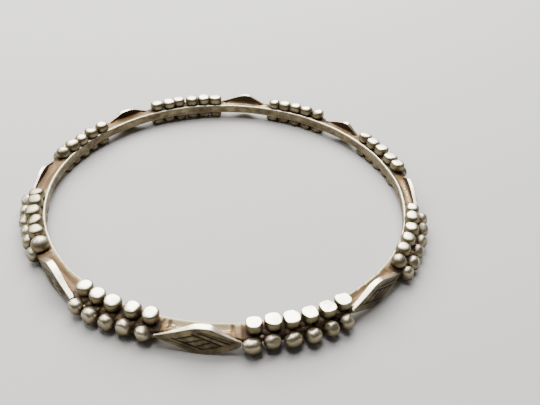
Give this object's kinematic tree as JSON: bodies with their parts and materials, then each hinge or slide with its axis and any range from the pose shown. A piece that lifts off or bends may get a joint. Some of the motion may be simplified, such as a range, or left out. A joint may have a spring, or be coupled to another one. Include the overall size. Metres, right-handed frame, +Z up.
{
  "type": "silver bangle",
  "caption": "Rigid closed silver bangle: a thin hoop with pointed lozenge plates and clusters of small worn silver balls soldered round its outside.",
  "frame": {"origin": "centre of the hoop, on the surface the bangle lies on", "axes": "+Z up along the hoop's axis; -Y towards the camera of the picture, through one lozenge plate"},
  "size_m": [0.068, 0.0676, 0.0043],
  "materials": {
    "aged_silver": "hand-worn silver, bright on the high spots and dark brown in the recesses"
  },
  "bodies": {
    "root": {"bangle": "aged_silver"}
  },
  "joints": []
}
